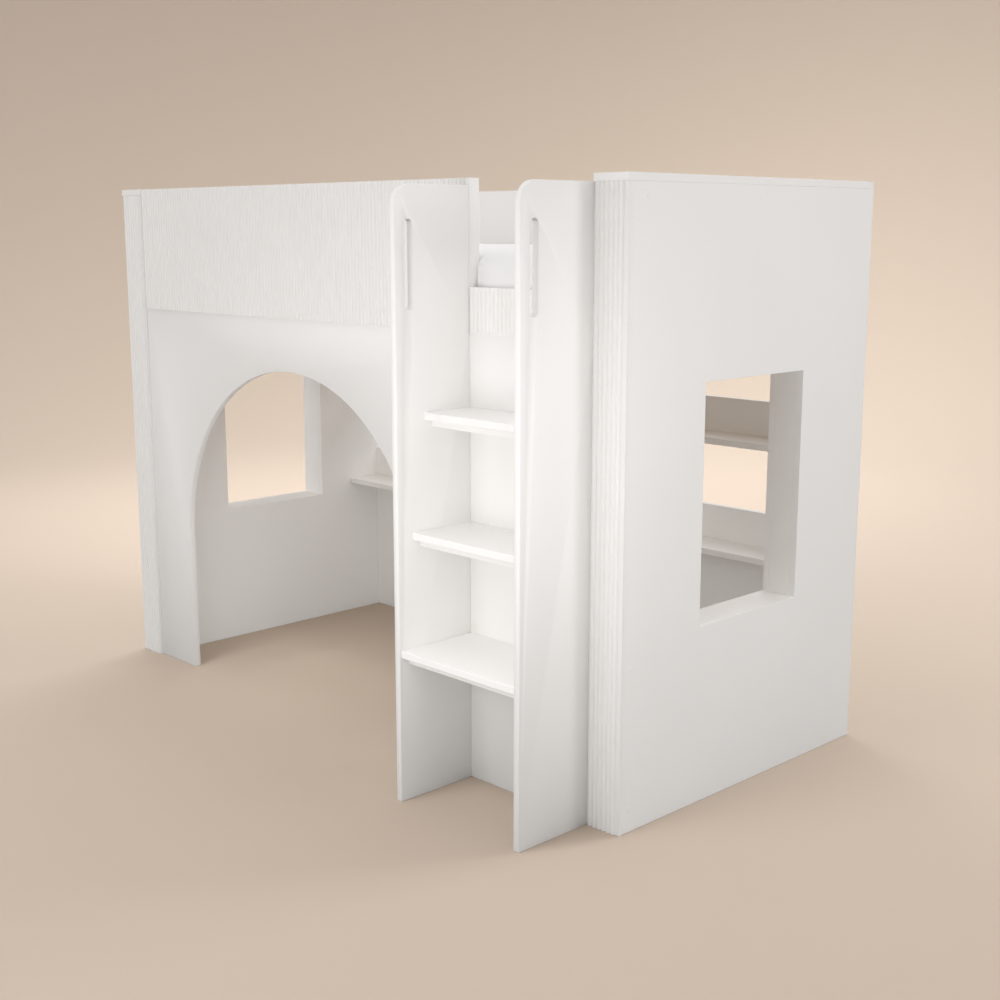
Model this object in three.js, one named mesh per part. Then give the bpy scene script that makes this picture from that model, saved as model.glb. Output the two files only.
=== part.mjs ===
// Mid sleeper bed: a single bed between two hollow end walls, over an arched play space.
// Millimetres. X runs along the bed from the left wall, Y from the ribs of the front to the
// back, and Z up from the floor. The last lines move the origin under the middle of the bed.
import * as THREE from "three";

// Mattress and the room it has in the bed
const MATTRESS_LENGTH = 1900;
const MATTRESS_WIDTH = 900;
const MATTRESS_THICKNESS = 180;
const MATTRESS_END_ROOM = 10;
const MATTRESS_SIDE_ROOM = 0.5;
const MATTRESS_CORNER = 60;
const MATTRESS_LEAST_CORNER = 1;
const MATTRESS_EDGE_RADIUS = 26;
const MATTRESS_CROWN = 5;
const MATTRESS_DRAW_IN = 4;

// Where the guard rail leaves the mattress free at the ladder, its side swells
const ENTRY_BULGE = 12;
const BULGE_START_ROOM = 1;
const BULGE_SHORTEST = 60;
const BULGE_RISE_SHARE = 0.06;
const BULGE_FALL_SHARE = 0.3;

// Boards and how they meet
const BOARD = 18;
const FLUTED_BOARD = 18;
const JOINT = 0.2;
const EDGE_EASE = 0.5;
const HANDLED_EASE = 1;

// Ribs of the fluted boards
const RIB_PITCH = 14.3;
const RIB_DEPTH = 4;
const RIB_GAP = 1;
const RIB_FACETS = 8;
const WALL_LEFT_STRIP = 2;
const WALL_RIGHT_STRIP = 12;

// End walls
const HEIGHT = 1516;
const WALL_THICKNESS = 100;
const BACK_OVERHANG = 17;
const STILE = 38;
const FRAME_RAIL = 64;

// Windows, centred on the depth of the wall
const WINDOW_WIDTH = 400;
const WINDOW_HEIGHT = 592;
const WINDOW_SILL = 452;

// Front panel with its arched doorway, and the low rail at the top of the ladder
const PANEL_SETBACK = 12;
const PANEL_HEIGHT = 1145;
const ARCH_WIDTH = 1108;
const ARCH_CROWN = 995.5;
const ENTRY_RAIL_HEIGHT = 111.5;

// Ladder
const LADDER_CLEAR = 392;
const LADDER_PROJECTION = 225;
const LADDER_TOP_RADIUS = 50;
const TREAD_NAMES = ["lower", "middle", "upper"];
const FIRST_TREAD = 387;
const TREAD_RISE = 288.5;
const TREAD_INSET = 5;
const TREAD_STEP_BACK = 40.5;
const TREAD_RAIL_SETBACK = 23;
const TREAD_RAIL_DEPTH = 60;
const GRIP_WIDTH = 26;
const GRIP_LENGTH = 210;
const GRIP_INSET = 41;
const GRIP_DROP = 79;

// Back: two shelves, each in front of a board that stands up behind it
const SHELF_DEPTH = 125;
const LOWER_SHELF_TOP = 497;
const SHELF_PITCH = 320;
const SHELF_UPSTAND = 100;

// Bed base
const BEARER_DEPTH = 40;
const BEARER_HEIGHT = 45;
const SLATS = 14;
const SLAT_WIDTH = 70;
const SLAT_THICKNESS = 20;
const SLAT_END_ROOM = 2;
const FIRST_SLAT_INSET = 25;

// How finely round outlines are divided
const ARCH_STEPS = 72;
const GRIP_STEPS = 12;
const MATTRESS_CORNER_STEPS = 4;
const MATTRESS_EDGE_STEPS = 4;
const MATTRESS_SIDE_STEPS = 5;
const MATTRESS_LONG_STEPS = 10;
const MATTRESS_SHORT_STEPS = 6;
const CROWN_SHARES = [0.15, 0.45];
const BULGE_SHARES = [0.015, 0.03, 0.06, 0.3, 0.5, 0.7, 0.88, 1];

// Planes that several pieces share
const innerLeft = WALL_THICKNESS;
const innerRight = innerLeft + MATTRESS_LENGTH + 2 * MATTRESS_END_ROOM;
const length = innerRight + WALL_THICKNESS;
const wallPanelFront = FLUTED_BOARD + JOINT;
const panelFront = PANEL_SETBACK;
const panelBack = panelFront + BOARD;
const guardFront = panelFront - RIB_DEPTH;
const guardBackingFront = guardFront + FLUTED_BOARD + JOINT;
const wellFront = guardBackingFront + BOARD;
const wellBack = wellFront + MATTRESS_WIDTH + 2 * MATTRESS_SIDE_ROOM;
const wallBack = wellBack + BOARD + BACK_OVERHANG;
const wallTop = HEIGHT - BOARD;
const guardBottom = PANEL_HEIGHT + JOINT;
const slatBottom = PANEL_HEIGHT + JOINT;
const slatTop = slatBottom + SLAT_THICKNESS;
const bearerBottom = PANEL_HEIGHT - BEARER_HEIGHT;
const rightSideX = innerRight - JOINT - BOARD;
const leftSideX = rightSideX - LADDER_CLEAR - BOARD;
const guardRight = leftSideX + BOARD;
const betweenWalls = innerRight - innerLeft - 2 * JOINT;
const wallCavity = WALL_THICKNESS - 2 * BOARD - 2 * JOINT;

const PAINT = { color: 0xf1efec, roughness: 0.55, metalness: 0 };
const SOFTWOOD = { color: 0xd8bd90, roughness: 0.75, metalness: 0 };
const TICKING = { color: 0xf6f7f8, roughness: 0.95, metalness: 0 };

// Outlines

function rectangle(width, height) {
  const shape = new THREE.Shape();
  shape.moveTo(0, 0);
  shape.lineTo(width, 0);
  shape.lineTo(width, height);
  shape.lineTo(0, height);
  shape.closePath();
  return shape;
}

function rectangularHole(x, y, width, height) {
  const hole = new THREE.Path();
  hole.moveTo(x, y);
  hole.lineTo(x, y + height);
  hole.lineTo(x + width, y + height);
  hole.lineTo(x + width, y);
  hole.closePath();
  return hole;
}

function arcPoints(path, centreX, centreY, radius, from, to, steps) {
  for (let i = 0; i <= steps; i += 1) {
    const angle = from + ((to - from) * i) / steps;
    path.lineTo(centreX + radius * Math.cos(angle), centreY + radius * Math.sin(angle));
  }
}

function archedPanel(width, height, archCentre) {
  const radius = ARCH_WIDTH / 2;
  const shape = new THREE.Shape();
  shape.moveTo(0, 0);
  shape.lineTo(archCentre - radius, 0);
  arcPoints(shape, archCentre, ARCH_CROWN - radius, radius, Math.PI, 0, ARCH_STEPS);
  shape.lineTo(archCentre + radius, 0);
  shape.lineTo(width, 0);
  shape.lineTo(width, height);
  shape.lineTo(0, height);
  shape.closePath();
  return shape;
}

// Side of the ladder, seen from the end of the bed, with y = 0 at its front edge. It is
// stepped at the back, because the ribs of the guard rail stand proud of the front panel.
function ladderSide() {
  const lowerDepth = LADDER_PROJECTION + panelFront - JOINT;
  const upperDepth = LADDER_PROJECTION + guardFront - JOINT;
  const shape = new THREE.Shape();
  shape.moveTo(0, 0);
  shape.lineTo(lowerDepth, 0);
  shape.lineTo(lowerDepth, PANEL_HEIGHT - JOINT);
  shape.lineTo(upperDepth, PANEL_HEIGHT - JOINT);
  shape.lineTo(upperDepth, wallTop);
  const radius = LADDER_TOP_RADIUS;
  arcPoints(shape, radius, wallTop - radius, radius, Math.PI / 2, Math.PI, GRIP_STEPS);
  shape.closePath();
  shape.holes.push(gripSlot());
  return shape;
}

function gripSlot() {
  const radius = GRIP_WIDTH / 2;
  const top = wallTop - GRIP_DROP - radius;
  const bottom = wallTop - GRIP_DROP - GRIP_LENGTH + radius;
  const slot = new THREE.Path();
  slot.moveTo(GRIP_INSET - radius, bottom);
  arcPoints(slot, GRIP_INSET, top, radius, Math.PI, 0, GRIP_STEPS);
  arcPoints(slot, GRIP_INSET, bottom, radius, 0, -Math.PI, GRIP_STEPS);
  slot.closePath();
  return slot;
}

// Plan of a fluted board: round ribs along its front, crests at y = 0, with a narrow flat
// between one rib and the next. The ribs fill the board exactly between its two plain strips.
function flutedPlan(width, leftStrip, rightStrip) {
  const ribbed = width - leftStrip - rightStrip;
  const count = Math.max(1, Math.round(ribbed / RIB_PITCH));
  const pitch = ribbed / count;
  const halfRib = (pitch - RIB_GAP) / 2;
  const radius = (halfRib * halfRib + RIB_DEPTH * RIB_DEPTH) / (2 * RIB_DEPTH);
  const sweep = Math.asin(halfRib / radius);
  const shape = new THREE.Shape();
  shape.moveTo(0, FLUTED_BOARD);
  shape.lineTo(0, RIB_DEPTH);
  for (let rib = 0; rib < count; rib += 1) {
    const middle = leftStrip + (rib + 0.5) * pitch;
    const lowest = -Math.PI / 2;
    arcPoints(shape, middle, radius, radius, lowest - sweep, lowest + sweep, RIB_FACETS);
  }
  shape.lineTo(width, RIB_DEPTH);
  shape.lineTo(width, FLUTED_BOARD);
  shape.closePath();
  return shape;
}

// Boards: an outline with eased edges, laid flat or stood up

function easedBoard(name, outline, thickness, ease, finish) {
  const geometry = new THREE.ExtrudeGeometry(outline, {
    depth: thickness - 2 * ease,
    bevelEnabled: true,
    bevelThickness: ease,
    bevelSize: ease,
    bevelOffset: -ease,
    bevelSegments: 1,
  });
  geometry.translate(0, 0, ease);
  const mesh = new THREE.Mesh(geometry, new THREE.MeshStandardMaterial(finish));
  mesh.name = name;
  return mesh;
}

// Outline in X and Y, from its lower face at z up
function flatBoard(name, outline, x, y, z, thickness = BOARD, ease = EDGE_EASE, finish = PAINT) {
  const mesh = easedBoard(name, outline, thickness, ease, finish);
  mesh.position.set(x, y, z);
  return mesh;
}

// Outline in X and Z, from its front face at y back
function frontBoard(name, outline, x, y, z, thickness = BOARD, ease = EDGE_EASE, finish = PAINT) {
  const mesh = easedBoard(name, outline, thickness, ease, finish);
  mesh.rotation.x = Math.PI / 2;
  mesh.position.set(x, y + thickness, z);
  return mesh;
}

// Outline in Y and Z, from its left face at x on
function sideBoard(name, outline, x, y, z, thickness = BOARD, ease = EDGE_EASE, finish = PAINT) {
  const mesh = easedBoard(name, outline, thickness, ease, finish);
  mesh.rotation.set(Math.PI / 2, Math.PI / 2, 0);
  mesh.position.set(x, y, z);
  return mesh;
}

function flutedBoard(name, width, height, x, y, z, leftStrip = 0, rightStrip = 0) {
  const geometry = new THREE.ExtrudeGeometry(flutedPlan(width, leftStrip, rightStrip), {
    depth: height,
    bevelEnabled: false,
  });
  const mesh = new THREE.Mesh(geometry, new THREE.MeshStandardMaterial(PAINT));
  mesh.name = name;
  mesh.position.set(x, y, z);
  return mesh;
}

// End wall: two panels over a hidden frame, a lined window, a fluted front and a top board

function wallPanel(name, x) {
  const outline = rectangle(wallBack - wallPanelFront, wallTop - JOINT);
  const windowY = (wallBack - WINDOW_WIDTH) / 2 - wallPanelFront;
  outline.holes.push(rectangularHole(windowY, WINDOW_SILL, WINDOW_WIDTH, WINDOW_HEIGHT));
  return sideBoard(name, outline, x, wallPanelFront, 0);
}

function wallFrame(side, cavityX) {
  const railY = wallPanelFront + STILE + JOINT;
  const railOutline = rectangle(wallBack - STILE - JOINT - railY, FRAME_RAIL);
  const stileOutline = rectangle(STILE, wallTop - JOINT);
  const topZ = wallTop - JOINT - FRAME_RAIL;
  const batten = (name, outline, y, z) =>
    sideBoard(`${side}_${name}`, outline, cavityX, y, z, wallCavity, EDGE_EASE, SOFTWOOD);
  return [
    batten("wall_front_stile", stileOutline, wallPanelFront, 0),
    batten("wall_bottom_rail", railOutline, railY, 0),
    batten("wall_top_rail", railOutline, railY, topZ),
    sideBoard(`${side}_wall_back_stile`, stileOutline, cavityX, wallBack - STILE, 0, wallCavity),
  ];
}

function windowLining(side, cavityX) {
  const frontY = (wallBack - WINDOW_WIDTH) / 2;
  const backY = frontY + WINDOW_WIDTH;
  const headZ = WINDOW_SILL + WINDOW_HEIGHT;
  const level = rectangle(wallCavity, WINDOW_WIDTH + 2 * BOARD);
  const upright = rectangle(wallCavity, WINDOW_HEIGHT - 2 * JOINT);
  const jambZ = WINDOW_SILL + JOINT;
  return [
    flatBoard(`${side}_window_sill`, level, cavityX, frontY - BOARD, WINDOW_SILL - BOARD),
    flatBoard(`${side}_window_head`, level, cavityX, frontY - BOARD, headZ),
    frontBoard(`${side}_window_front_jamb`, upright, cavityX, frontY - BOARD, jambZ),
    frontBoard(`${side}_window_back_jamb`, upright, cavityX, backY, jambZ),
  ];
}

function wallFront(side) {
  const height = wallTop - JOINT;
  const strips = [WALL_LEFT_STRIP, WALL_RIGHT_STRIP];
  return flutedBoard(`${side}_wall_fluted_front`, WALL_THICKNESS, height, 0, 0, 0, ...strips);
}

function endWall(side, x, nearPanel, farPanel) {
  const wall = new THREE.Group();
  const cavityX = BOARD + JOINT;
  wall.add(
    wallFront(side),
    wallPanel(`${side}_wall_${nearPanel}_panel`, 0),
    wallPanel(`${side}_wall_${farPanel}_panel`, WALL_THICKNESS - BOARD),
    flatBoard(`${side}_wall_top_board`, rectangle(WALL_THICKNESS, wallBack), 0, 0, wallTop),
    ...wallFrame(side, cavityX),
    ...windowLining(side, cavityX),
  );
  wall.position.x = x;
  return wall;
}

// Front: arched panel, guard rail in two layers, and the low rail that the ladder leads to

function bedFront() {
  const front = new THREE.Group();
  const x = innerLeft + JOINT;
  const archCentre = (innerLeft + guardRight) / 2 - x;
  const guardLength = guardRight - x;
  const guardHeight = HEIGHT - guardBottom;
  const entryX = guardRight + JOINT;
  const entryLength = innerRight - JOINT - entryX;
  front.add(
    frontBoard("front_arch_panel", archedPanel(betweenWalls, PANEL_HEIGHT, archCentre), x, panelFront, 0),
    flutedBoard("front_guard_fluted_board", guardLength, guardHeight, x, guardFront, guardBottom),
    frontBoard(
      "front_guard_backing_board",
      rectangle(guardLength, guardHeight),
      x,
      guardBackingFront,
      guardBottom,
    ),
    flutedBoard("entry_fluted_rail", entryLength, ENTRY_RAIL_HEIGHT, entryX, guardFront, guardBottom),
  );
  return front;
}

// Ladder: two sides with hand slots, and treads that get deeper towards the floor

function ladder() {
  const group = new THREE.Group();
  const side = (name, x) => sideBoard(name, ladderSide(), x, -LADDER_PROJECTION, 0);
  group.add(side("ladder_left_side", leftSideX), side("ladder_right_side", rightSideX));
  const x = guardRight + JOINT;
  const width = LADDER_CLEAR - 2 * JOINT;
  TREAD_NAMES.forEach((name, i) => {
    const front = -LADDER_PROJECTION + TREAD_INSET + i * TREAD_STEP_BACK;
    const bottom = FIRST_TREAD + i * TREAD_RISE - BOARD;
    const tread = rectangle(width, panelFront - JOINT - front);
    const rail = rectangle(width, TREAD_RAIL_DEPTH);
    const railY = front + TREAD_RAIL_SETBACK;
    const railZ = bottom - JOINT - BOARD;
    group.add(
      flatBoard(`ladder_${name}_tread`, tread, x, front, bottom, BOARD, HANDLED_EASE),
      flatBoard(`ladder_${name}_tread_rail`, rail, x, railY, railZ, BOARD, EDGE_EASE),
    );
  });
  return group;
}

// Back: guard board beside the mattress, and two shelves with boards behind them

function bedBack() {
  const back = new THREE.Group();
  const x = innerLeft + JOINT;
  const shelfY = wellBack - JOINT - SHELF_DEPTH;
  const shelf = rectangle(betweenWalls, SHELF_DEPTH);
  const lowerBoard = rectangle(betweenWalls, LOWER_SHELF_TOP + SHELF_UPSTAND);
  const upperShelfTop = LOWER_SHELF_TOP + SHELF_PITCH;
  const upperBoard = rectangle(betweenWalls, BOARD + SHELF_UPSTAND);
  const guard = rectangle(betweenWalls, HEIGHT - bearerBottom);
  back.add(
    frontBoard("back_lower_panel", lowerBoard, x, wellBack, 0),
    flatBoard("back_lower_shelf", shelf, x, shelfY, LOWER_SHELF_TOP - BOARD, BOARD, HANDLED_EASE),
    frontBoard("back_upper_rail", upperBoard, x, wellBack, upperShelfTop - BOARD),
    flatBoard("back_upper_shelf", shelf, x, shelfY, upperShelfTop - BOARD, BOARD, HANDLED_EASE),
    frontBoard("back_guard_board", guard, x, wellBack, bearerBottom),
  );
  return back;
}

// Base: a bearer along each side, flush with the top of the front panel, and loose-laid slats

function bedBase() {
  const base = new THREE.Group();
  const x = innerLeft + JOINT;
  const bearer = rectangle(betweenWalls, BEARER_DEPTH);
  const bearerAt = (name, y) =>
    flatBoard(name, bearer, x, y, bearerBottom, BEARER_HEIGHT, EDGE_EASE, SOFTWOOD);
  base.add(
    bearerAt("front_slat_bearer", panelBack + JOINT),
    bearerAt("back_slat_bearer", wellBack - JOINT - BEARER_DEPTH),
  );
  const slatFront = wellFront + SLAT_END_ROOM;
  const slat = rectangle(SLAT_WIDTH, wellBack - SLAT_END_ROOM - slatFront);
  const first = innerLeft + FIRST_SLAT_INSET;
  const last = innerRight - FIRST_SLAT_INSET - SLAT_WIDTH;
  for (let i = 0; i < SLATS; i += 1) {
    const slatX = first + ((last - first) * i) / (SLATS - 1);
    const name = `slat_${String(i + 1).padStart(2, "0")}`;
    base.add(
      flatBoard(name, slat, slatX, slatFront, slatBottom, SLAT_THICKNESS, HANDLED_EASE, SOFTWOOD),
    );
  }
  return base;
}

// Mattress: a stack of rings in plan. Its sides are drawn in towards the top and bottom, its
// top is crowned, and it swells a little where the guard rail leaves it free at the ladder.

// Distance in from the widest outline, and height, from the foot of the side to the crown
function mattressProfile() {
  const profile = [];
  const edge = MATTRESS_EDGE_RADIUS;
  const drawIn = (z) => MATTRESS_DRAW_IN * ((2 * z) / MATTRESS_THICKNESS - 1) ** 2;
  const shoulder = MATTRESS_THICKNESS - MATTRESS_CROWN - edge;
  for (let i = 0; i <= MATTRESS_EDGE_STEPS; i += 1) {
    const angle = (Math.PI / 2) * (i / MATTRESS_EDGE_STEPS);
    profile.push([drawIn(edge) + edge * (1 - Math.sin(angle)), edge * (1 - Math.cos(angle))]);
  }
  for (let i = 1; i < MATTRESS_SIDE_STEPS; i += 1) {
    const z = edge + ((shoulder - edge) * i) / MATTRESS_SIDE_STEPS;
    profile.push([drawIn(z), z]);
  }
  for (let i = 0; i <= MATTRESS_EDGE_STEPS; i += 1) {
    const angle = (Math.PI / 2) * (i / MATTRESS_EDGE_STEPS);
    profile.push([drawIn(shoulder) + edge * (1 - Math.cos(angle)), shoulder + edge * Math.sin(angle)]);
  }
  const crownFoot = drawIn(shoulder) + edge;
  const crownReach = MATTRESS_WIDTH / 2 - crownFoot;
  for (const share of CROWN_SHARES) {
    const rise = Math.sin((Math.PI / 2) * share);
    profile.push([crownFoot + crownReach * share, shoulder + edge + MATTRESS_CROWN * rise]);
  }
  return profile;
}

// Where the long sides are divided: evenly up to the entry, closely across it, evenly after it
function mattressStations(halfStraight) {
  const start = guardRight + BULGE_START_ROOM - (innerLeft + innerRight) / 2;
  const end = Math.max(start + BULGE_SHORTEST, halfStraight);
  const stations = [];
  for (let i = 0; i <= MATTRESS_LONG_STEPS; i += 1) {
    stations.push(-halfStraight + ((start + halfStraight) * i) / MATTRESS_LONG_STEPS);
  }
  for (const share of BULGE_SHARES) {
    stations.push(start + (end - start) * share);
  }
  return { stations, start, end };
}

function entryBulge(x, z, start, end) {
  if (x <= start || x >= end) {
    return 0;
  }
  const share = (x - start) / (end - start);
  const along = Math.min(1, share / BULGE_RISE_SHARE, (1 - share) / BULGE_FALL_SHARE);
  const up = Math.cos((Math.PI / 2) * ((2 * z) / MATTRESS_THICKNESS - 1)) ** 2;
  return ENTRY_BULGE * Math.sin((Math.PI / 2) * along) * up;
}

function mattressRing(inset, z) {
  const halfLength = MATTRESS_LENGTH / 2;
  const halfWidth = MATTRESS_WIDTH / 2;
  const corner = MATTRESS_CORNER;
  const straightX = halfLength - corner;
  const straightY = halfWidth - corner;
  const { stations, start, end } = mattressStations(straightX);
  const shrinkX = Math.max(0, inset - corner) / straightX;
  const shrinkY = Math.max(0, inset - corner) / straightY;
  const radius = Math.max(MATTRESS_LEAST_CORNER, corner - inset);
  const cornerX = straightX * (1 - shrinkX);
  const cornerY = straightY * (1 - shrinkY);
  const ring = [];
  for (const x of stations) {
    ring.push([x * (1 - shrinkX), -cornerY - radius - entryBulge(x, z, start, end)]);
  }
  const roundCorner = (x, y, from) => {
    for (let i = 1; i < MATTRESS_CORNER_STEPS; i += 1) {
      const angle = from + ((Math.PI / 2) * i) / MATTRESS_CORNER_STEPS;
      ring.push([x + radius * Math.cos(angle), y + radius * Math.sin(angle)]);
    }
  };
  roundCorner(cornerX, -cornerY, -Math.PI / 2);
  for (let i = 0; i <= MATTRESS_SHORT_STEPS; i += 1) {
    ring.push([cornerX + radius, -cornerY + (2 * cornerY * i) / MATTRESS_SHORT_STEPS]);
  }
  roundCorner(cornerX, cornerY, 0);
  for (const x of [...stations].reverse()) {
    ring.push([x * (1 - shrinkX), cornerY + radius]);
  }
  roundCorner(-cornerX, cornerY, Math.PI / 2);
  for (let i = 0; i <= MATTRESS_SHORT_STEPS; i += 1) {
    ring.push([-cornerX - radius, cornerY - (2 * cornerY * i) / MATTRESS_SHORT_STEPS]);
  }
  roundCorner(-cornerX, -cornerY, Math.PI);
  return ring.map(([x, y]) => new THREE.Vector3(x, y, z));
}

function mattress() {
  const rings = mattressProfile().map(([inset, z]) => mattressRing(inset, z));
  const around = rings[0].length;
  const points = rings.flat();
  const bottomCentre = points.length;
  points.push(new THREE.Vector3(0, 0, 0));
  const topCentre = points.length;
  points.push(new THREE.Vector3(0, 0, MATTRESS_THICKNESS));
  const faces = [];
  for (let i = 0; i < around; i += 1) {
    const next = (i + 1) % around;
    for (let r = 0; r < rings.length - 1; r += 1) {
      const low = r * around;
      const high = low + around;
      faces.push(low + i, low + next, high + next);
      faces.push(low + i, high + next, high + i);
    }
    const top = (rings.length - 1) * around;
    faces.push(bottomCentre, next, i);
    faces.push(topCentre, top + i, top + next);
  }
  const geometry = new THREE.BufferGeometry().setFromPoints(points);
  geometry.setIndex(faces);
  geometry.computeVertexNormals();
  const mesh = new THREE.Mesh(geometry, new THREE.MeshStandardMaterial(TICKING));
  mesh.name = "mattress";
  mesh.position.set((innerLeft + innerRight) / 2, (wellFront + wellBack) / 2, slatTop + JOINT);
  return mesh;
}

const bed = new THREE.Group();
bed.add(
  endWall("left", 0, "outer", "inner"),
  endWall("right", innerRight, "inner", "outer"),
  bedFront(),
  ladder(),
  bedBack(),
  bedBase(),
  mattress(),
);
bed.position.set(-length / 2, (LADDER_PROJECTION - wallBack) / 2, 0);

export default bed;
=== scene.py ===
# Mid sleeper bed: finishes, mattress, cover caps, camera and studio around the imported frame.
# Metres. X runs along the bed, Y from its front to its back, and Z up from the floor.
import math

import bmesh
import bpy
import numpy as np
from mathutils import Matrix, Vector


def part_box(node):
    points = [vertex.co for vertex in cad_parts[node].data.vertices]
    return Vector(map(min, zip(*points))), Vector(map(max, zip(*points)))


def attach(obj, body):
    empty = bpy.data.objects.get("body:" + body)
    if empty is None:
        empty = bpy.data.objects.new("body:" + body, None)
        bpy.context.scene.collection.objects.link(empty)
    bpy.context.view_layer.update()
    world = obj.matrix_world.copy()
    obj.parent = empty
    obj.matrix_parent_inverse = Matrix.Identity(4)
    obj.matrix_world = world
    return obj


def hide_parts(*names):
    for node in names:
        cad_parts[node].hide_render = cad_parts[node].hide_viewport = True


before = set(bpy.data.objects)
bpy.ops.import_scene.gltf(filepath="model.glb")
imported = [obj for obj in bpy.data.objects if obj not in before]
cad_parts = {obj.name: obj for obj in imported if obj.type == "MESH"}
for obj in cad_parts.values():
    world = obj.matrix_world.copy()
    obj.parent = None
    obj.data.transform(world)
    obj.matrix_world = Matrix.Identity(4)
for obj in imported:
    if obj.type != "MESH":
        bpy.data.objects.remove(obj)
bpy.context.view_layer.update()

MM = 0.001

# Camera, at the photograph's place
CAMERA_PLACE = (3.0854, -2.7345, 1.398)
CAMERA_HEADING = 0.79824
CAMERA_DOWN = 0.19017
CAMERA_LENS = 50.911
SENSOR_WIDTH = 36.0

# Studio floor: flat in the middle, with a rim that turns up into the backdrop
FLOOR_FLAT_RINGS = (1.5, 3.0)
FLOOR_RADIUS = 9.0
FLOOR_TURN = 4.0
BACKDROP_HEIGHT = 6.0
FLOOR_SEGMENTS = 96
FLOOR_TURN_STEPS = 16
FLOOR_DROP = 0.5 * MM

# Studio paper: what the camera sees, and what the paper throws at the bed
FLOOR_COLOUR = (0.59, 0.49, 0.40, 1.0)
FLOOR_BOUNCE = (0.46, 0.44, 0.42, 1.0)
PAPER_CLOUD_SCALE = 0.8
PAPER_CLOUD_TONE = 0.985
PAPER_ROUGHNESS = 0.9

# Studio lights: place, aim, size and watts. A place or an aim is an azimuth in degrees from the
# camera's side, a radius and a height.
BED_CENTRE = (0, 0, 0.75)
SKY_COLOUR = (0.89, 0.87, 0.865, 1.0)
BED_LIGHTS = {
    "overhead_light": ((0, 0.1, 4.95), BED_CENTRE, 3.0, 19.0),
    "ladder_light": ((-30, 1.8, 0.75), BED_CENTRE, 0.8, 5.5),
    "near_ladder_light": ((15, 1.88, 1.01), (-5.4, 1.03, 0.8), 0.4, 1.0),
    "corner_light": ((0, 1.8, 0.75), BED_CENTRE, 0.8, 1.8),
    "upper_corner_light": ((-15, 1.69, 1.37), BED_CENTRE, 0.8, 1.0),
    "right_light": ((45, 2.76, 1.24), BED_CENTRE, 1.0, 4.5),
    "right_edge_light": ((55, 3.76, 2.12), BED_CENTRE, 0.7, 15.0),
    "left_front_light": ((-80, 3.86, 1.79), BED_CENTRE, 1.5, 21.3),
    "back_light": ((150, 2.46, 2.47), BED_CENTRE, 1.5, 20.0),
    "room_light": ((221.6, 0.1, 0.9), (221.6, 0.1, 0.0), 0.7, 2.1),
}
FLOOR_LIGHTS = {
    "floor_front_light": ((-45, 2.83, 3.58), BED_CENTRE, 1.5, 52.0),
    "floor_side_light": ((90, 3.46, 2.75), BED_CENTRE, 1.5, 46.0),
    "floor_back_light": ((180, 2.46, 2.47), BED_CENTRE, 1.5, 18.0),
    "backdrop_right_light": ((168, 3.2, 3.2), (168, 5.2, 0.0), 1.2, 50.0),
    "backdrop_left_light": ((204, 3.2, 3.2), (204, 5.2, 0.0), 1.2, 48.0),
    "backdrop_far_light": ((150, 5.0, 3.5), (150, 6.5, 0.4), 2.0, 66.0),
}
ALL_BOUNCES = 16
DIFFUSE_BOUNCES = 12

# The values that a noise pattern mostly stays between, and the sockets of a colour mix
NOISE_LOW = 0.3
NOISE_HIGH = 0.7
MIX_FACTOR = 0
MIX_FIRST = 6
MIX_SECOND = 7
MIX_RESULT = 2

# Lacquer
PAINT_COLOUR = (0.94, 0.935, 0.925, 1.0)
PAINT_CLOUD_SCALE = 1.7
PAINT_CLOUD_TONE = 0.975
PAINT_PATCH_SCALE = 9.0
PAINT_IOR = 1.45
ROUGHNESS_SPREAD = 0.05
BOARD_ROUGHNESS = 0.52
FLUTING_ROUGHNESS = 0.50
LADDER_ROUGHNESS = 0.45
PEEL_SCALE = 420.0
PEEL_STRENGTH = 0.08
PEEL_DEPTH = 0.1 * MM

# Painted shade: points and faces marked on the mesh, in the grooves of the ribs and inside the hand
# slots, take a darker paint colour, as if in shade
PAINTED_SHADE = "painted_shade"
FLUTING_SHADE_TONE = 0.95
LADDER_SHADE_TONE = 0.6

# Pine. A pattern is squeezed across the grain, so that it runs along it.
GRAIN_ALONG = 1.0
GRAIN_ACROSS = 14.0
KNOT_ALONG = 0.96
KNOT_ACROSS = 6.0892
KNOT_CORE = 0.03
KNOT_EDGE = 0.09
PINE_RINGS = {"Scale": 1.1, "Distortion": 7.0, "Detail": 2.0, "Detail Scale": 0.7}
PINE_WARP_SCALE = 0.9
PINE_FIBRES = {"scale": 18.0, "detail": 5.0, "roughness": 0.65}
PINE_FIBRE_SHARE = 0.35
PINE_CLEAR_SHARE = 0.3
PINE_ROUGHNESS = (0.5, 0.7)
PINE_EARLY = (0.78, 0.60, 0.38, 1)
PINE_LATE = (0.62, 0.42, 0.22, 1)
PINE_FIBRE = (0.50, 0.32, 0.16, 1)
PINE_CLEAR = (0.84, 0.68, 0.47, 1)
PINE_KNOT = (0.20, 0.10, 0.05, 1)

# Knit of the mattress cover: three diagonal waves added together
KNIT_COLOUR = (0.90, 0.90, 0.90, 1.0)
KNIT_SHADOW = (0.86, 0.865, 0.87, 1.0)
KNIT_DULLED = (0.84, 0.84, 0.84, 1.0)
KNIT_WAYS = ((1, 1, 1), (1, -1, 1), (1, 1, -1))
KNIT_WAVE = {"Scale": 90.0, "Distortion": 0.6, "Detail": 1.0}
KNIT_LOW = 0.6
KNIT_HIGH = 2.4
KNIT_CLOUD_SCALE = 3.0
KNIT_CLOUD_SHARE = 0.25
KNIT_FUZZ_SCALE = 900.0
KNIT_ROUGHNESS = (0.85, 1.0)
KNIT_SHEEN = 0.25
KNIT_SHEEN_ROUGHNESS = 0.5

# Bump of the pine's fibres and of the knit
THREAD_BUMP = 0.25
THREAD_DEPTH = 0.3 * MM

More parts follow.
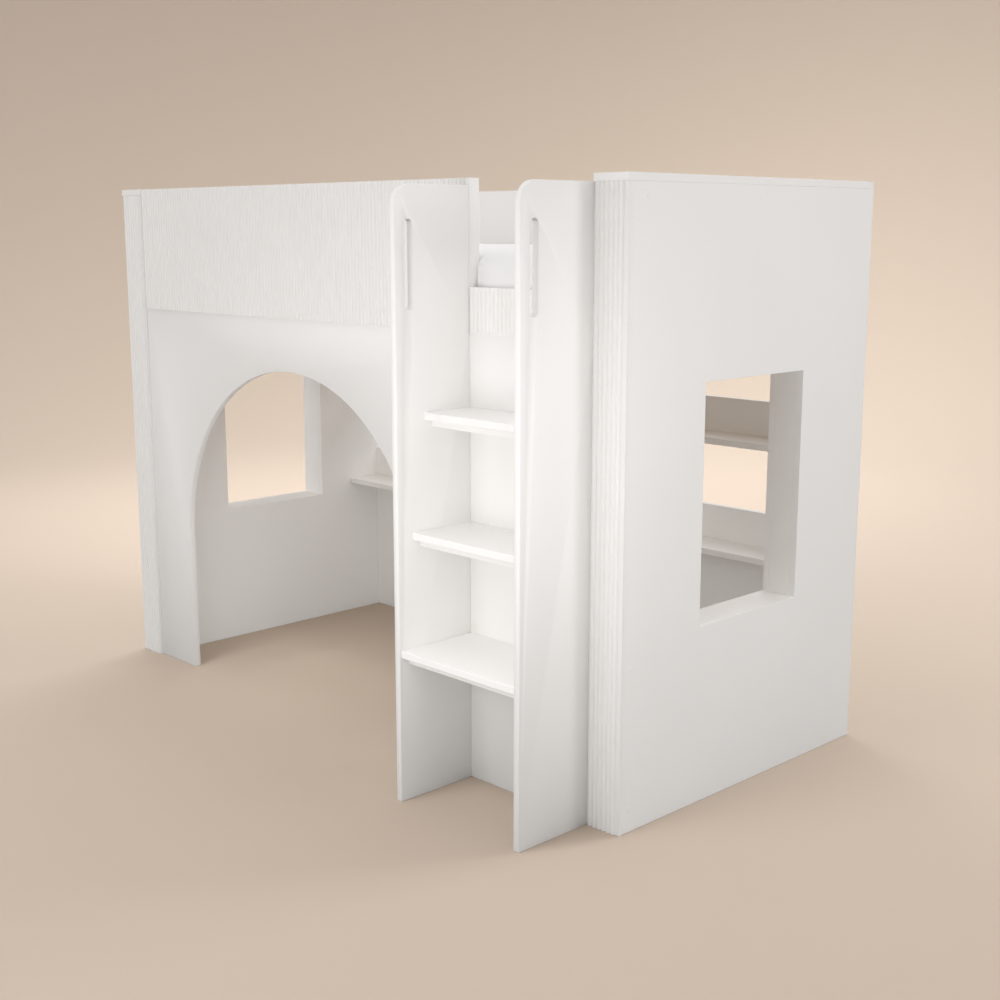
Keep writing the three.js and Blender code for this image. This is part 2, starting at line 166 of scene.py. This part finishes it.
# Mattress cover, simulated from a slightly smaller copy of the solid
COVER_VOXEL = 12 * MM
COVER_INSET = 4 * MM
COVER_CAP = 7 * MM
COVER_RISE = 3 * MM
COVER_FRAMES = 20
CLOTH_PRESSURE = 4.0
CLOTH_QUALITY = 6
CLOTH_MASS = 0.4
CLOTH_STRETCH = 12
CLOTH_SHEAR = 4
CLOTH_BENDING = 0.6
SHORTEST_MOVE = 1e-9
WELL_CLEARANCE = 0.2 * MM

# Where the guard rail leaves the cover free at the ladder, its front swells over the rail
SWELL = 17.6 * MM
SWELL_START = 1.0 * MM
SWELL_RISE = 4 * MM
SWELL_AT_GUARD = 0.75
SWELL_BELOW_TOP = 0.45
SWELL_SPREAD = 60 * MM
SWELL_FALL = 110 * MM
SWELL_NEAR = 16 * MM
SWELL_FAR = 50 * MM
SWELL_CUTS = 4
COVER_CORNER = 60 * MM

# Ribs of the fluted boards
RIB_PITCH = 14.3 * MM
RIB_DEPTH = 4 * MM
RIB_GAP = 1 * MM
WALL_STRIPS = (2 * MM, 12 * MM)
NO_STRIPS = (0.0, 0.0)
RIB_STEPS = 12
CREASE = math.radians(35)
WELD = 0.001 * MM

# Hand slots of the ladder sides, and how much shade is painted inside them: some on their walls, the
# full painted shade under their top arc. A face looks along an axis where more than the share FACING
# of its normal lies along it.
GRIP_INSET = 41 * MM
GRIP_DROP = 79 * MM
GRIP_WIDTH = 26 * MM
GRIP_LENGTH = 210 * MM
GRIP_MARGIN = 1 * MM
GRIP_SHADE = 0.25
GRIP_TOP_SHADE = 1.0
FACING = 0.5

# Cover caps over the fixings of the end walls. The profile gives shares of the radius and the rise.
CAP_RADIUS = 6 * MM
CAP_RISE = 0.7 * MM
CAP_SEGMENTS = 32
CAP_PROFILE = ((1.0, 0.0), (1.0, 0.45), (0.94, 0.8), (0.82, 0.95), (0.45, 1.0))
CAP_ROW = (70 * MM, 490 * MM, 910 * MM)
CAP_COLUMN = (58 * MM, 401 * MM, 529 * MM, 1420 * MM)


# Small helpers for shader trees


def new_material(name):
    material = bpy.data.materials.new(name)
    material.use_nodes = True
    return material, material.node_tree, material.node_tree.nodes["Principled BSDF"]


def fill(tree, node, inputs):
    """Links or sets the inputs of a node, each given by its name or its number."""
    for socket, value in inputs.items():
        if isinstance(value, bpy.types.NodeSocket):
            tree.links.new(value, node.inputs[socket])
        else:
            node.inputs[socket].default_value = value


def add(tree, kind, inputs=None, **settings):
    node = tree.nodes.new(kind)
    for key, value in settings.items():
        setattr(node, key, value)
    fill(tree, node, inputs or {})
    return node


def place(tree, scale=(1, 1, 1)):
    coordinates = add(tree, "ShaderNodeTexCoord").outputs["Object"]
    inputs = {"Vector": coordinates, "Scale": scale}
    return add(tree, "ShaderNodeMapping", inputs).outputs["Vector"]


def noise(tree, vector, scale, detail=2.0, roughness=0.5):
    inputs = {"Vector": vector, "Scale": scale, "Detail": detail, "Roughness": roughness}
    return add(tree, "ShaderNodeTexNoise", inputs).outputs["Fac"]


def spread(tree, value, low, high, from_low=NOISE_LOW, from_high=NOISE_HIGH):
    inputs = {
        "Value": value,
        "From Min": from_low,
        "From Max": from_high,
        "To Min": low,
        "To Max": high,
    }
    return add(tree, "ShaderNodeMapRange", inputs).outputs["Result"]


def mix(tree, factor, first, second):
    inputs = {MIX_FACTOR: factor, MIX_FIRST: first, MIX_SECOND: second}
    return add(tree, "ShaderNodeMix", inputs, data_type="RGBA").outputs[MIX_RESULT]


def add_bump(tree, shader, height, strength, depth):
    inputs = {"Height": height, "Strength": strength, "Distance": depth}
    bump = add(tree, "ShaderNodeBump", inputs)
    tree.links.new(bump.outputs["Normal"], shader.inputs["Normal"])


def shade(colour, factor):
    return (*(channel * factor for channel in colour[:3]), 1.0)


# Materials


def paint(name, roughness, peel_strength=0.0, shade_tone=1.0):
    """Sprayed lacquer on board: faint cloudiness, with orange peel and painted shade (a darker colour
    on marked grooves) where asked.
    """
    material, tree, shader = new_material(name)
    here = place(tree)
    cloud = noise(tree, here, PAINT_CLOUD_SCALE, detail=3.0)
    patch = noise(tree, here, PAINT_PATCH_SCALE, detail=4.0)
    dimmed = shade(PAINT_COLOUR, PAINT_CLOUD_TONE)
    tone = mix(tree, spread(tree, cloud, 0.0, 1.0), dimmed, PAINT_COLOUR)
    if shade_tone < 1:
        # Painted shade: marked grooves take a darker colour, as if in shade
        painted_shade = add(tree, "ShaderNodeAttribute", attribute_name=PAINTED_SHADE).outputs["Fac"]
        tone = mix(tree, painted_shade, tone, shade(PAINT_COLOUR, shade_tone))
    tree.links.new(tone, shader.inputs["Base Color"])
    gloss = spread(tree, patch, roughness - ROUGHNESS_SPREAD, roughness + ROUGHNESS_SPREAD)
    tree.links.new(gloss, shader.inputs["Roughness"])
    shader.inputs["IOR"].default_value = PAINT_IOR
    if peel_strength > 0:
        add_bump(tree, shader, noise(tree, here, PEEL_SCALE), peel_strength, PEEL_DEPTH)
    return material


def along_grain(axis, along, across):
    return tuple(along if letter == axis else across for letter in "xyz")


def pine(axis):
    """Planed pine with its grain along one axis: growth rings, fibres and a few knots."""
    material, tree, shader = new_material(f"pine_along_{axis}")
    here = place(tree, along_grain(axis, GRAIN_ALONG, GRAIN_ACROSS))
    warp = noise(tree, here, PINE_WARP_SCALE)
    rings = add(
        tree,
        "ShaderNodeTexWave",
        {"Vector": here, **PINE_RINGS},
        wave_type="BANDS",
        bands_direction="DIAGONAL",
        wave_profile="SAW",
    ).outputs["Fac"]
    fibre = noise(tree, here, **PINE_FIBRES)
    knot_place = place(tree, along_grain(axis, KNOT_ALONG, KNOT_ACROSS))
    knot_inputs = {"Vector": knot_place, "Scale": 1.0}
    distance = add(tree, "ShaderNodeTexVoronoi", knot_inputs).outputs["Distance"]
    knot = spread(tree, distance, 1.0, 0.0, KNOT_CORE, KNOT_EDGE)
    ringed = mix(tree, rings, PINE_EARLY, PINE_LATE)
    fibred = mix(tree, spread(tree, fibre, 0.0, PINE_FIBRE_SHARE), ringed, PINE_FIBRE)
    clouded = mix(tree, spread(tree, warp, 0.0, PINE_CLEAR_SHARE), fibred, PINE_CLEAR)
    tree.links.new(mix(tree, knot, clouded, PINE_KNOT), shader.inputs["Base Color"])
    tree.links.new(spread(tree, fibre, *PINE_ROUGHNESS), shader.inputs["Roughness"])
    add_bump(tree, shader, fibre, THREAD_BUMP, THREAD_DEPTH)
    return material


def knit_wave(tree, way):
    inputs = {"Vector": place(tree, way), **KNIT_WAVE}
    return add(tree, "ShaderNodeTexWave", inputs, bands_direction="DIAGONAL").outputs["Fac"]


def total(tree, first, second):
    return add(tree, "ShaderNodeMath", {0: first, 1: second}, operation="ADD").outputs[0]


def knitted_cover():
    """White stretch-knit mattress cover: fine diamonds of thread, with a soft sheen."""
    material, tree, shader = new_material("mattress_knit")
    first, second, third = (knit_wave(tree, way) for way in KNIT_WAYS)
    threads = total(tree, total(tree, first, second), third)
    fuzz = noise(tree, place(tree), KNIT_FUZZ_SCALE, detail=3.0)
    cloud = noise(tree, place(tree), KNIT_CLOUD_SCALE, detail=3.0)
    raised = spread(tree, threads, 0.0, 1.0, KNIT_LOW, KNIT_HIGH)
    knit = mix(tree, raised, KNIT_SHADOW, KNIT_COLOUR)
    tone = mix(tree, spread(tree, cloud, 0.0, KNIT_CLOUD_SHARE), knit, KNIT_DULLED)
    tree.links.new(tone, shader.inputs["Base Color"])
    tree.links.new(spread(tree, fuzz, *KNIT_ROUGHNESS), shader.inputs["Roughness"])
    add_bump(tree, shader, threads, THREAD_BUMP, THREAD_DEPTH)
    shader.inputs["Sheen Weight"].default_value = KNIT_SHEEN
    shader.inputs["Sheen Roughness"].default_value = KNIT_SHEEN_ROUGHNESS
    return material


def studio_paper():
    """Paper that throws less light, and less warm light, at the bed than it shows."""
    material, tree, shader = new_material("studio_paper")
    cloud = noise(tree, place(tree), PAPER_CLOUD_SCALE, detail=3.0)
    shown = mix(tree, cloud, FLOOR_COLOUR, shade(FLOOR_COLOUR, PAPER_CLOUD_TONE))
    seen = add(tree, "ShaderNodeLightPath").outputs["Is Camera Ray"]
    tree.links.new(mix(tree, seen, FLOOR_BOUNCE, shown), shader.inputs["Base Color"])
    shader.inputs["Roughness"].default_value = PAPER_ROUGHNESS
    return material


board_paint = paint("painted_board", BOARD_ROUGHNESS, PEEL_STRENGTH)
fluting_paint = paint("painted_fluting", FLUTING_ROUGHNESS, shade_tone=FLUTING_SHADE_TONE)
ladder_paint = paint("painted_ladder", LADDER_ROUGHNESS, PEEL_STRENGTH, LADDER_SHADE_TONE)
pine_along = {axis: pine(axis) for axis in "xyz"}


def finish_of(node):
    if "fluted" in node:
        return fluting_paint
    if node.startswith("ladder"):
        return ladder_paint
    if node.startswith("slat_") or node.endswith(("bottom_rail", "wall_top_rail")):
        return pine_along["y"]
    if node.endswith("bearer"):
        return pine_along["x"]
    if node.endswith("front_stile"):
        return pine_along["z"]
    return board_paint


def dress_nodes():
    for name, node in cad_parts.items():
        for slot in node.material_slots:
            slot.material = finish_of(name)


# Mesh helpers


def new_piece(name, mesh, material):
    piece = bpy.data.objects.new(name, mesh)
    bpy.context.scene.collection.objects.link(piece)
    piece.data.materials.clear()
    piece.data.materials.append(material)
    return piece


def mesh_from(bm, name):
    mesh = bpy.data.meshes.new(name)
    bm.to_mesh(mesh)
    bm.free()
    return mesh


def coordinates_of(mesh):
    flat = np.empty(len(mesh.vertices) * 3)
    mesh.vertices.foreach_get("co", flat)
    return flat.reshape(-1, 3)


def set_coordinates(mesh, points):
    mesh.vertices.foreach_set("co", np.asarray(points, float).ravel())
    mesh.update()


def apply_modifier(piece, modifier):
    with bpy.context.temp_override(object=piece, active_object=piece):
        bpy.ops.object.modifier_apply(modifier=modifier.name)


# Boards with round parts, redrawn so that they shade as round


def stand_for(node, bm):
    """Makes the drawn board a piece in the node's place: round arcs, and real edges left sharp."""
    mesh = mesh_from(bm, f"{node}_finish")
    mesh.shade_smooth()
    mesh.set_sharp_from_angle(angle=CREASE)
    piece = new_piece(f"{node}_finish", mesh, finish_of(node))
    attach(piece, "bed_frame")
    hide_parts(node)


def shade_hand_slot(bm, node):
    """Marks the inside of a hand slot for painted shade: its walls a little darker than the board,
    the underside of its top arc darker still.
    """
    low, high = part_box(node)
    painted_shade = bm.faces.layers.float.new(PAINTED_SHADE)
    for face in bm.faces:
        middle = face.calc_center_median()
        across = abs(middle.y - low[1] - GRIP_INSET) < 0.5 * GRIP_WIDTH + GRIP_MARGIN
        down = high[2] - middle.z - GRIP_DROP
        if across and 0 < down < GRIP_LENGTH and abs(face.normal.x) < FACING:
            # Painted shade: the underside of the top arc gets the darkest colour, the walls a lighter
            # one
            looks_down = face.normal.z < -FACING
            face[painted_shade] = GRIP_TOP_SHADE if looks_down else GRIP_SHADE


def round_board(node):
    """The CAD board with its facets welded, for the arch and for the sides of the ladder."""
    bm = bmesh.new()
    bm.from_mesh(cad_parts[node].data)
    bmesh.ops.remove_doubles(bm, verts=bm.verts, dist=WELD)
    if node.startswith("ladder"):
        shade_hand_slot(bm, node)
    stand_for(node, bm)


def rib_line(width, strips):
    """Points across the ribs: distance along the board, and distance back from the crests."""
    ribbed = width - sum(strips)
    count = max(1, round(ribbed / RIB_PITCH))
    pitch = ribbed / count
    half = (pitch - RIB_GAP) / 2
    radius = (half ** 2 + RIB_DEPTH ** 2) / (2 * RIB_DEPTH)
    sweep = math.asin(half / radius)
    points = [(0.0, RIB_DEPTH)]
    for rib in range(count):
        for i in range(RIB_STEPS + 1):
            angle = sweep * (2 * i / RIB_STEPS - 1)
            along = strips[0] + (rib + 0.5) * pitch + radius * math.sin(angle)
            points.append((along, radius * (1 - math.cos(angle))))
    points.append((width, RIB_DEPTH))
    return points


def fluted_board(node):
    """Round ribs along the front of a board, from its foot to its top."""
    low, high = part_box(node)
    strips = WALL_STRIPS if "wall" in node else NO_STRIPS
    bm = bmesh.new()
    painted_shade = bm.verts.layers.float.new(PAINTED_SHADE)
    columns = []
    for along, back in rib_line(high[0] - low[0], strips):
        front = low[1] + back
        corners = ((front, low[2]), (front, high[2]), (high[1], high[2]), (high[1], low[2]))
        column = [bm.verts.new((low[0] + along, y, z)) for y, z in corners]
        for vert in column[:2]:
            # Painted shade, darker the deeper the point lies in the groove between ribs
            vert[painted_shade] = back / RIB_DEPTH
        columns.append(column)
    for left, right in zip(columns, columns[1:]):
        for i in range(4):
            j = (i + 1) % 4
            bm.faces.new((left[i], right[i], right[j], left[j]))
    bm.faces.new(columns[0])
    bm.faces.new(tuple(reversed(columns[-1])))
    bmesh.ops.recalc_face_normals(bm, faces=bm.faces)
    stand_for(node, bm)


def redraw_round_boards():
    for node in ("front_arch_panel", "ladder_left_side", "ladder_right_side"):
        round_board(node)
    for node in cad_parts:
        if "fluted" in node:
            fluted_board(node)


# Mattress


def remesh(piece):
    modifier = piece.modifiers.new("even_faces", "REMESH")
    modifier.mode = "VOXEL"
    modifier.voxel_size = COVER_VOXEL
    apply_modifier(piece, modifier)


def draw_in(mesh, distance):
    normals = np.empty(len(mesh.vertices) * 3)
    mesh.vertices.foreach_get("normal", normals)
    set_coordinates(mesh, coordinates_of(mesh) - normals.reshape(-1, 3) * distance)


def add_cloth(piece):
    cloth = piece.modifiers.new("cover", "CLOTH")
    cloth.settings.quality = CLOTH_QUALITY
    cloth.settings.mass = CLOTH_MASS
    cloth.settings.tension_stiffness = CLOTH_STRETCH
    cloth.settings.compression_stiffness = CLOTH_STRETCH
    cloth.settings.shear_stiffness = CLOTH_SHEAR
    cloth.settings.bending_stiffness = CLOTH_BENDING
    cloth.settings.use_pressure = True
    cloth.settings.uniform_pressure_force = CLOTH_PRESSURE
    cloth.settings.effector_weights.gravity = 0
    cloth.collision_settings.use_collision = False
    cloth.point_cache.frame_start = 1
    cloth.point_cache.frame_end = COVER_FRAMES
    return cloth


def blow_up(piece):
    """Runs the cloth to COVER_FRAMES and gives the points that it reaches."""
    cloth = add_cloth(piece)
    scene = bpy.context.scene
    for number in range(1, COVER_FRAMES + 1):
        scene.frame_set(number)
    shown = piece.evaluated_get(bpy.context.evaluated_depsgraph_get())
    reached = coordinates_of(shown.data)
    piece.modifiers.remove(cloth)
    scene.frame_set(1)
    return reached


def simulate(piece):
    """Blows the cover up, no point further than COVER_CAP, and makes its faces finer."""
    start = coordinates_of(piece.data)
    move = blow_up(piece) - start
    length = np.linalg.norm(move, axis=1, keepdims=True)
    move *= np.minimum(1.0, COVER_CAP / np.maximum(length, SHORTEST_MOVE))
    set_coordinates(piece.data, start + move)
    finer = piece.modifiers.new("finer", "SUBSURF")
    finer.levels = 1
    apply_modifier(piece, finer)


def hold_in_well(points):
    """Keeps the cover off the boards beside, behind and below it, and lets its top rise a little."""
    low, high = (np.array(corner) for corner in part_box("mattress"))
    low[1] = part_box("front_guard_backing_board")[1][1] + WELL_CLEARANCE
    held = np.clip(points, low, high)
    held[:, 2] += COVER_RISE * (held[:, 2] - low[2]) / (high[2] - low[2])
    return held


def swell_start():
    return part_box("front_guard_backing_board")[1][0] + SWELL_START


def cut_for_swell(mesh):
    """Adds edges where the swell begins, for it begins steeply beside the guard rail."""
    bm = bmesh.new()
    bm.from_mesh(mesh)
    for step in range(SWELL_CUTS + 1):
        cut = (swell_start() + SWELL_RISE * step / SWELL_CUTS, 0, 0)
        everything = bm.verts[:] + bm.edges[:] + bm.faces[:]
        bmesh.ops.bisect_plane(bm, geom=everything, plane_co=cut, plane_no=(1, 0, 0))
    bm.to_mesh(mesh)
    bm.free()


def ease(share):
    """From 0 to 1 with a soft start and a soft end."""
    return np.sin(0.5 * math.pi * np.clip(share, 0, 1)) ** 2


def swell_at_entry(points):
    """Brings the cover's front forward to the entry rail, between the guard rail and the end wall."""
    low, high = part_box("mattress")
    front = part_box("front_guard_backing_board")[1][1]
    rail_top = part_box("entry_fluted_rail")[1][2]
    beyond = points[:, 0] - swell_start()
    spread_out = SWELL_AT_GUARD + (1 - SWELL_AT_GUARD) * ease(beyond / SWELL_SPREAD)
    fall = ease((high[0] - COVER_CORNER - points[:, 0]) / SWELL_FALL)
    along = ease(beyond / SWELL_RISE) * spread_out * fall
    above = ease((high[2] - points[:, 2]) / (high[2] - rail_top) / SWELL_BELOW_TOP)
    below = ease((points[:, 2] - low[2]) / (rail_top - low[2]))
    depth = points[:, 1] - front
    near_front = np.clip((SWELL_FAR - depth) / (SWELL_FAR - SWELL_NEAR), 0, 1)
    swollen = points.copy()
    swollen[:, 1] -= (SWELL + depth) * along * above * below * near_front
    return swollen


def mattress_cover():
    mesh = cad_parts["mattress"].data.copy()
    piece = new_piece("mattress_cover", mesh, knitted_cover())
    remesh(piece)
    draw_in(piece.data, COVER_INSET)
    simulate(piece)
    cut_for_swell(piece.data)
    held = hold_in_well(coordinates_of(piece.data))
    set_coordinates(piece.data, swell_at_entry(held))
    for face in piece.data.polygons:
        face.use_smooth = True
    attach(piece, "mattress")
    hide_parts("mattress")


# Cover caps


def cap_disc(bm, centre, outward):
    """A low dome with a rounded rim, flat against the board, facing outward along X."""
    rings = []
    for share, rise in CAP_PROFILE:
        ring = []
        for i in range(CAP_SEGMENTS):
            angle = 2 * math.pi * i / CAP_SEGMENTS
            y = centre[1] + CAP_RADIUS * share * math.cos(angle)
            z = centre[2] + CAP_RADIUS * share * math.sin(angle)
            ring.append(bm.verts.new((centre[0] + outward * CAP_RISE * rise, y, z)))
        rings.append(ring)
    for lower, upper in zip(rings, rings[1:]):
        for i in range(CAP_SEGMENTS):
            j = (i + 1) % CAP_SEGMENTS
            bm.faces.new((lower[i], lower[j], upper[j], upper[i]))
    bm.faces.new(rings[-1])
    bm.faces.new(tuple(reversed(rings[0])))


def cap_centres(side, outward):
    """A row of caps over the top rail, and a column of them over the front stile."""
    low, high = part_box(f"{side}_wall_outer_panel")
    face = high[0] if outward > 0 else low[0]
    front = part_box(f"{side}_wall_fluted_front")[0][1]
    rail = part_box(f"{side}_wall_top_rail")
    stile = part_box(f"{side}_wall_front_stile")
    rail_height = (rail[0][2] + rail[1][2]) / 2
    stile_middle = (stile[0][1] + stile[1][1]) / 2
    row = [(face, front + y, rail_height) for y in CAP_ROW]
    return row + [(face, stile_middle, z) for z in CAP_COLUMN]


def cover_caps(side, outward):
    bm = bmesh.new()
    for centre in cap_centres(side, outward):
        cap_disc(bm, centre, outward)
    bmesh.ops.recalc_face_normals(bm, faces=bm.faces)
    mesh = mesh_from(bm, f"{side}_wall_cover_caps")
    mesh.shade_smooth()
    piece = new_piece(f"{side}_wall_cover_caps", mesh, board_paint)
    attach(piece, "bed_frame")


# Studio


def floor_profile():
    """Radius and height of each ring of the floor, from its middle to the top of the backdrop."""
    profile = [(radius, 0.0) for radius in FLOOR_FLAT_RINGS]
    for i in range(FLOOR_TURN_STEPS + 1):
        angle = 0.5 * math.pi * i / FLOOR_TURN_STEPS
        out = FLOOR_RADIUS - FLOOR_TURN + FLOOR_TURN * math.sin(angle)
        profile.append((out, FLOOR_TURN * (1 - math.cos(angle))))
    profile.append((FLOOR_RADIUS, BACKDROP_HEIGHT))
    return profile


def floor_ring(bm, radius, height):
    ring = []
    for i in range(FLOOR_SEGMENTS):
        angle = 2 * math.pi * i / FLOOR_SEGMENTS
        spot = (radius * math.cos(angle), radius * math.sin(angle), height - FLOOR_DROP)
        ring.append(bm.verts.new(spot))
    return ring


def studio_floor():
    """A round floor whose rim turns up into the backdrop."""
    bm = bmesh.new()
    centre = bm.verts.new((0, 0, -FLOOR_DROP))
    previous = None
    for radius, height in floor_profile():
        ring = floor_ring(bm, radius, height)
        for i in range(FLOOR_SEGMENTS):
            j = (i + 1) % FLOOR_SEGMENTS
            if previous is None:
                bm.faces.new((centre, ring[i], ring[j]))
            else:
                bm.faces.new((previous[i], ring[i], ring[j], previous[j]))
        previous = ring
    mesh = mesh_from(bm, "studio_floor")
    mesh.shade_smooth()
    floor = new_piece("studio_floor", mesh, studio_paper())
    return floor


def from_camera_side(azimuth, radius, height):
    around = math.atan2(CAMERA_PLACE[1], CAMERA_PLACE[0]) + math.radians(azimuth)
    return Vector((radius * math.cos(around), radius * math.sin(around), height))


def soft_light(name, stand, aim, size, watts, lit):
    """A square soft light on one group of pieces."""
    lamp = bpy.data.lights.new(name, "AREA")
    lamp.shape = "SQUARE"
    lamp.size = size
    lamp.energy = watts
    light = bpy.data.objects.new(name, lamp)
    bpy.context.scene.collection.objects.link(light)
    light.location = from_camera_side(*stand)
    forward = from_camera_side(*aim) - light.location
    light.rotation_euler = forward.to_track_quat("-Z", "Y").to_euler()
    light.visible_camera = False
    light.light_linking.receiver_collection = lit


def group(name, pieces):
    collection = bpy.data.collections.new(name)
    for piece in pieces:
        collection.objects.link(piece)
    return collection


def studio_light(floor):
    """An even sky, soft lights on the bed alone, and soft lights on the floor and backdrop alone."""
    world = bpy.data.worlds.new("studio")
    bpy.context.scene.world = world
    world.use_nodes = True
    background = world.node_tree.nodes["Background"]
    background.inputs["Color"].default_value = SKY_COLOUR
    meshes = [piece for piece in bpy.data.objects if piece.type == "MESH" and piece != floor]
    bed = group("lit_bed", meshes)
    for name, light in BED_LIGHTS.items():
        soft_light(name, *light, bed)
    paper = group("lit_floor", [floor])
    for name, light in FLOOR_LIGHTS.items():
        soft_light(name, *light, paper)


def photo_camera():
    data = bpy.data.cameras.new("photo_camera")
    data.lens = CAMERA_LENS
    data.sensor_width = SENSOR_WIDTH
    camera = bpy.data.objects.new("photo_camera", data)
    bpy.context.scene.collection.objects.link(camera)
    camera.location = CAMERA_PLACE
    camera.rotation_euler = (0.5 * math.pi - CAMERA_DOWN, 0, CAMERA_HEADING)
    bpy.context.scene.camera = camera


def let_white_boards_light_one_another():
    cycles = bpy.context.scene.cycles
    cycles.max_bounces = ALL_BOUNCES
    cycles.diffuse_bounces = DIFFUSE_BOUNCES


def show_true_colours():
    view = bpy.context.scene.view_settings
    view.view_transform = "Standard"
    view.look = "None"


dress_nodes()
redraw_round_boards()
mattress_cover()
cover_caps("left", -1)
cover_caps("right", 1)
studio_light(studio_floor())
photo_camera()
let_white_boards_light_one_another()
show_true_colours()
